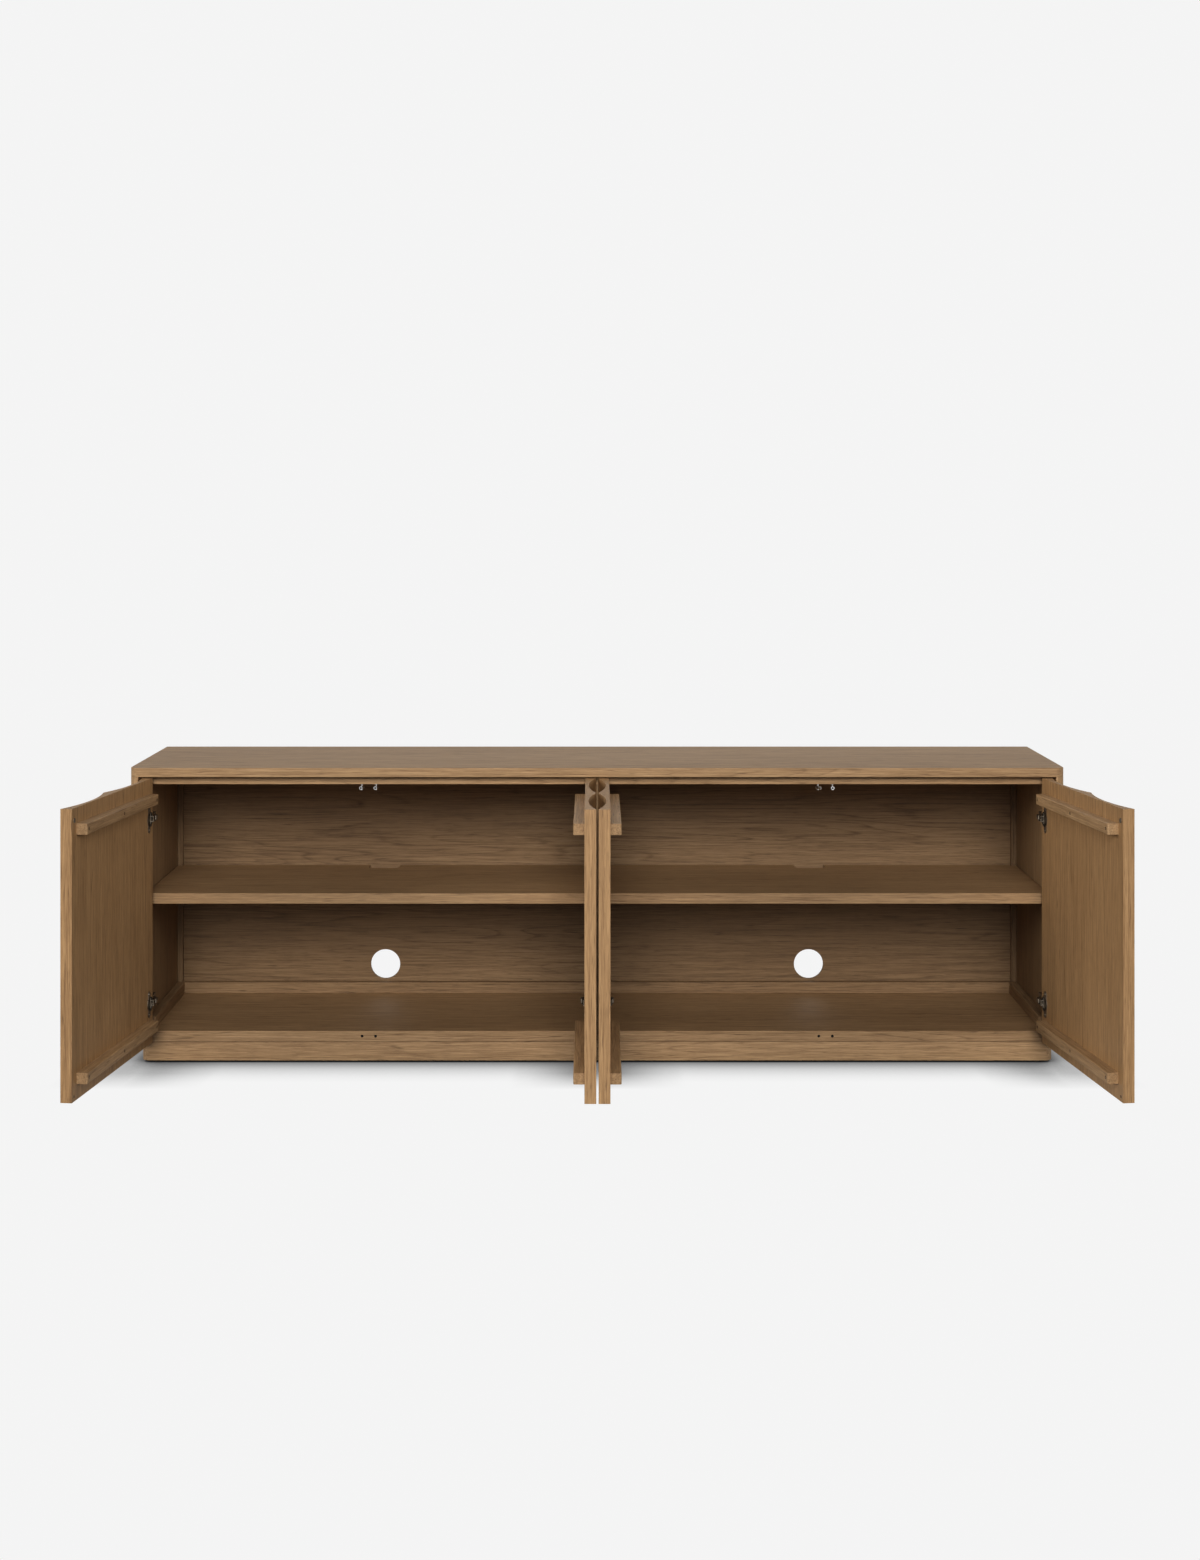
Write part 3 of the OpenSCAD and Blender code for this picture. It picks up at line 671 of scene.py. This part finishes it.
def make_discs(door, turn):
    """The strike disc at the top and the small dark disc at the foot."""
    node = door + "_door_catch_discs"
    boxes = sorted(solids(node, turn), key=lambda box: box[0].z)
    pieces = []
    for (low, high), material in zip(boxes, (MAGNET, SCREW_STEEL)):
        centre = (low + high) / 2
        radius = (high.x - low.x) / 2
        disc = rod("disc", radius, Vector((centre.x, low.y, centre.z)),
                   Vector((centre.x, high.y, centre.z)), 36)
        round_edges(disc, lambda e: middle(e).y > high.y - 1e-5, 0.0003, 2)
        pick(disc, "FACE", lambda f: f.normal.y > 0.99)
        bpy.ops.mesh.inset(thickness=0.45 * radius, depth=-0.0004)
        bpy.ops.object.mode_set(mode="OBJECT")
        disc.data.materials.append(material)
        only(disc)
        bpy.ops.object.shade_smooth_by_angle(angle=math.radians(20))
        pieces.append(disc)
    obj = join(node + "_steel", pieces)
    move(obj, turn.inverted())
    return fit_piece(obj, None, door + "_door", "catch_zinc", node)


batten_head = screw_head("batten_head", *BATTEN_HEAD)
cup_head = screw_head("cup_head", *SMALL_HEAD)

for number, door in enumerate(DOORS):
    turn, angle = closing(door)
    body = door + "_door"
    panel_oak = oak("oak_" + door + "_door", "Z", 20.0 + 3.7 * number, tone_and_shade=0.98, figure=0.2,
                    warmth=1.0)
    make_panel(door, turn, panel_oak)
    batten_oak = oak("oak_" + door + "_batten", "X", 30.0 + 2.9 * number, turn=angle, figure=0.2)
    make_battens(door, turn, batten_oak)
    node = door + "_door_batten_screws"
    heads = make_heads(node, turn, batten_head, HEAD_PROUD)
    move(heads, turn.inverted())
    fit_piece(heads, BRONZED, body, "batten_screw_steel", node)
    node = door + "_door_cup_screws"
    heads = make_heads(node, turn, cup_head, 0.0)
    move(heads, turn.inverted())
    fit_piece(heads, SCREW_STEEL, body, "screw_steel", node)
    make_discs(door, turn)
    node = door + "_door_hinge_cups"
    fit_piece(refined(node, node + "_steel", 0.00025), HINGE_STEEL, body, "hinge_steel", node)
    node = door + "_hinge_links"
    fit_piece(refined(node, node + "_steel", 0.00025), HINGE_STEEL, door + "_links", "hinge_steel", node)
for template in (batten_head, cup_head):
    bpy.data.objects.remove(template)


# ---------------------------------------------------------------- metalwork of the carcass

def make_catch(door):
    """A swivel catch barrel with a dark magnet in its mouth."""
    node = door + "_catch_barrel"
    joint = joints[door + "_catch_swivel"]
    rest = math.radians(-45 - joint["range_deg"][0])
    pivot = Vector(joint["pos_m"])
    barrel = refined(node, node + "_zinc", 0.0004)
    barrel.data.materials.clear()
    barrel.data.materials.append(ZINC)
    ahead = Matrix.Rotation(rest, 4, "Z") @ Vector((0, -1, 0))
    magnet = rod("magnet", CATCH_MAGNET_RADIUS, pivot + CATCH_MAGNET_FROM * ahead,
                 pivot + CATCH_MAGNET_TO * ahead, 24)
    ease(magnet, 0.0002, 2)
    magnet.data.materials.append(MAGNET)
    obj = join(node + "_zinc", [barrel, magnet])
    return fit_piece(obj, None, door + "_catch", "catch_zinc", node)


for door in DOORS:
    make_catch(door)
for node, ending, ease_width, material, slot in (
        ("catch_posts", "_zinc", 0.0003, ZINC, "catch_zinc"),
        ("hinge_arms", "_steel", 0.0008, HINGE_STEEL, "hinge_steel"),
        ("hinge_plates", "_steel", 0.0004, HINGE_STEEL, "hinge_steel"),
        ("shelf_pins", "_steel", 0.0005, SCREW_STEEL, "shelf_pin_steel"),
        ("floor_magnets", "_black", 0.0003, MAGNET, "magnet_dark"),
        ("floor_glides", "_plastic", 0.0008, GLIDE, "glide_plastic")):
    fit_piece(refined(node, node + ending, ease_width), material, "root", slot, node)


def make_plate_screws():
    """Heads of the screws that hold the hinge plates, each facing into its bay."""
    node = "hinge_plate_screws"
    template = screw_head("plate_head", *SMALL_HEAD)
    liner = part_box("side_liner_right")[0].x
    heads = []
    for low, high in solids(node):
        centre = (low + high) / 2
        inward = 1 if (abs(centre.x) < liner / 2) == (centre.x > 0) else -1
        top = Vector((high.x if inward > 0 else low.x, centre.y, centre.z))
        face = Matrix.Rotation(math.radians(90 * inward), 4, "Y")
        twist = Matrix.Rotation(math.radians(41 * len(heads)), 4, "Z")
        heads.append(copy_at(template, Matrix.Translation(top) @ face @ twist))
    bpy.data.objects.remove(template)
    return fit_piece(join(node + "_steel", heads), SCREW_STEEL, "root", "screw_steel", node)


make_plate_screws()


# ---------------------------------------------------------------- studio

def unlit_by(obj):
    """Keeps a piece of the studio from throwing its own light or shade on the cabinet."""
    obj.visible_diffuse = False
    obj.visible_shadow = False
    return obj


def add_studio():
    """A wide pale floor under a pale dome."""
    paper = studio_paper()
    bpy.ops.object.select_all(action="DESELECT")
    bpy.ops.mesh.primitive_circle_add(vertices=64, radius=STUDIO_RADIUS, fill_type="NGON")
    floor = bpy.context.object
    floor.name = "studio_floor"
    floor.data.materials.append(paper)
    unlit_by(floor)
    bpy.ops.object.select_all(action="DESELECT")
    bpy.ops.mesh.primitive_uv_sphere_add(segments=48, ring_count=24, radius=STUDIO_RADIUS)
    dome = bpy.context.object
    dome.name = "studio_dome"
    dome.data.materials.append(paper)
    unlit_by(dome)


def add_lamp(name, side, height, softness, power):
    """A broad soft light from afar. side, from the front, height and softness are in degrees."""
    data = bpy.data.lights.new(name, "SUN")
    data.angle = math.radians(softness)
    data.energy = power
    lamp = bpy.data.objects.new(name, data)
    side, height = math.radians(side), math.radians(height)
    toward = Vector((math.sin(side) * math.cos(height), -math.cos(side) * math.cos(height),
                     math.sin(height)))
    lamp.location = LAMP_DISTANCE * toward
    lamp.rotation_euler = toward.to_track_quat("Z", "Y").to_euler()
    scene.collection.objects.link(lamp)


def add_softbox(name, place, aim, size, power):
    """A large soft rectangular light at a place, which faces another."""
    data = bpy.data.lights.new(name, "AREA")
    data.shape = "RECTANGLE"
    data.size, data.size_y = size
    data.energy = power
    lamp = bpy.data.objects.new(name, data)
    lamp.location = place
    lamp.rotation_euler = (place - aim).to_track_quat("Z", "Y").to_euler()
    scene.collection.objects.link(lamp)


def add_world():
    """A black surrounding, so that only the lamps light the cabinet."""
    world = bpy.data.worlds.new("studio")
    scene.world = world
    world.use_nodes = True
    background = world.node_tree.nodes["Background"]
    background.inputs["Color"].default_value = (0, 0, 0, 1)


add_studio()
add_world()
add_lamp("key", -66, 15, 26, 1.6)
add_lamp("fill", 64, 15, 26, 0.85)
add_lamp("front", 0, 21, 26, 1.95)
add_lamp("rear", 180, 5, 40, 1.0)
add_softbox("softbox", Vector((0, -3.0, 1.9)), Vector((0, 0, 0.3)), (1.4, 0.9), 22)
scene.view_settings.view_transform = "Standard"
scene.view_settings.gamma = 0.85
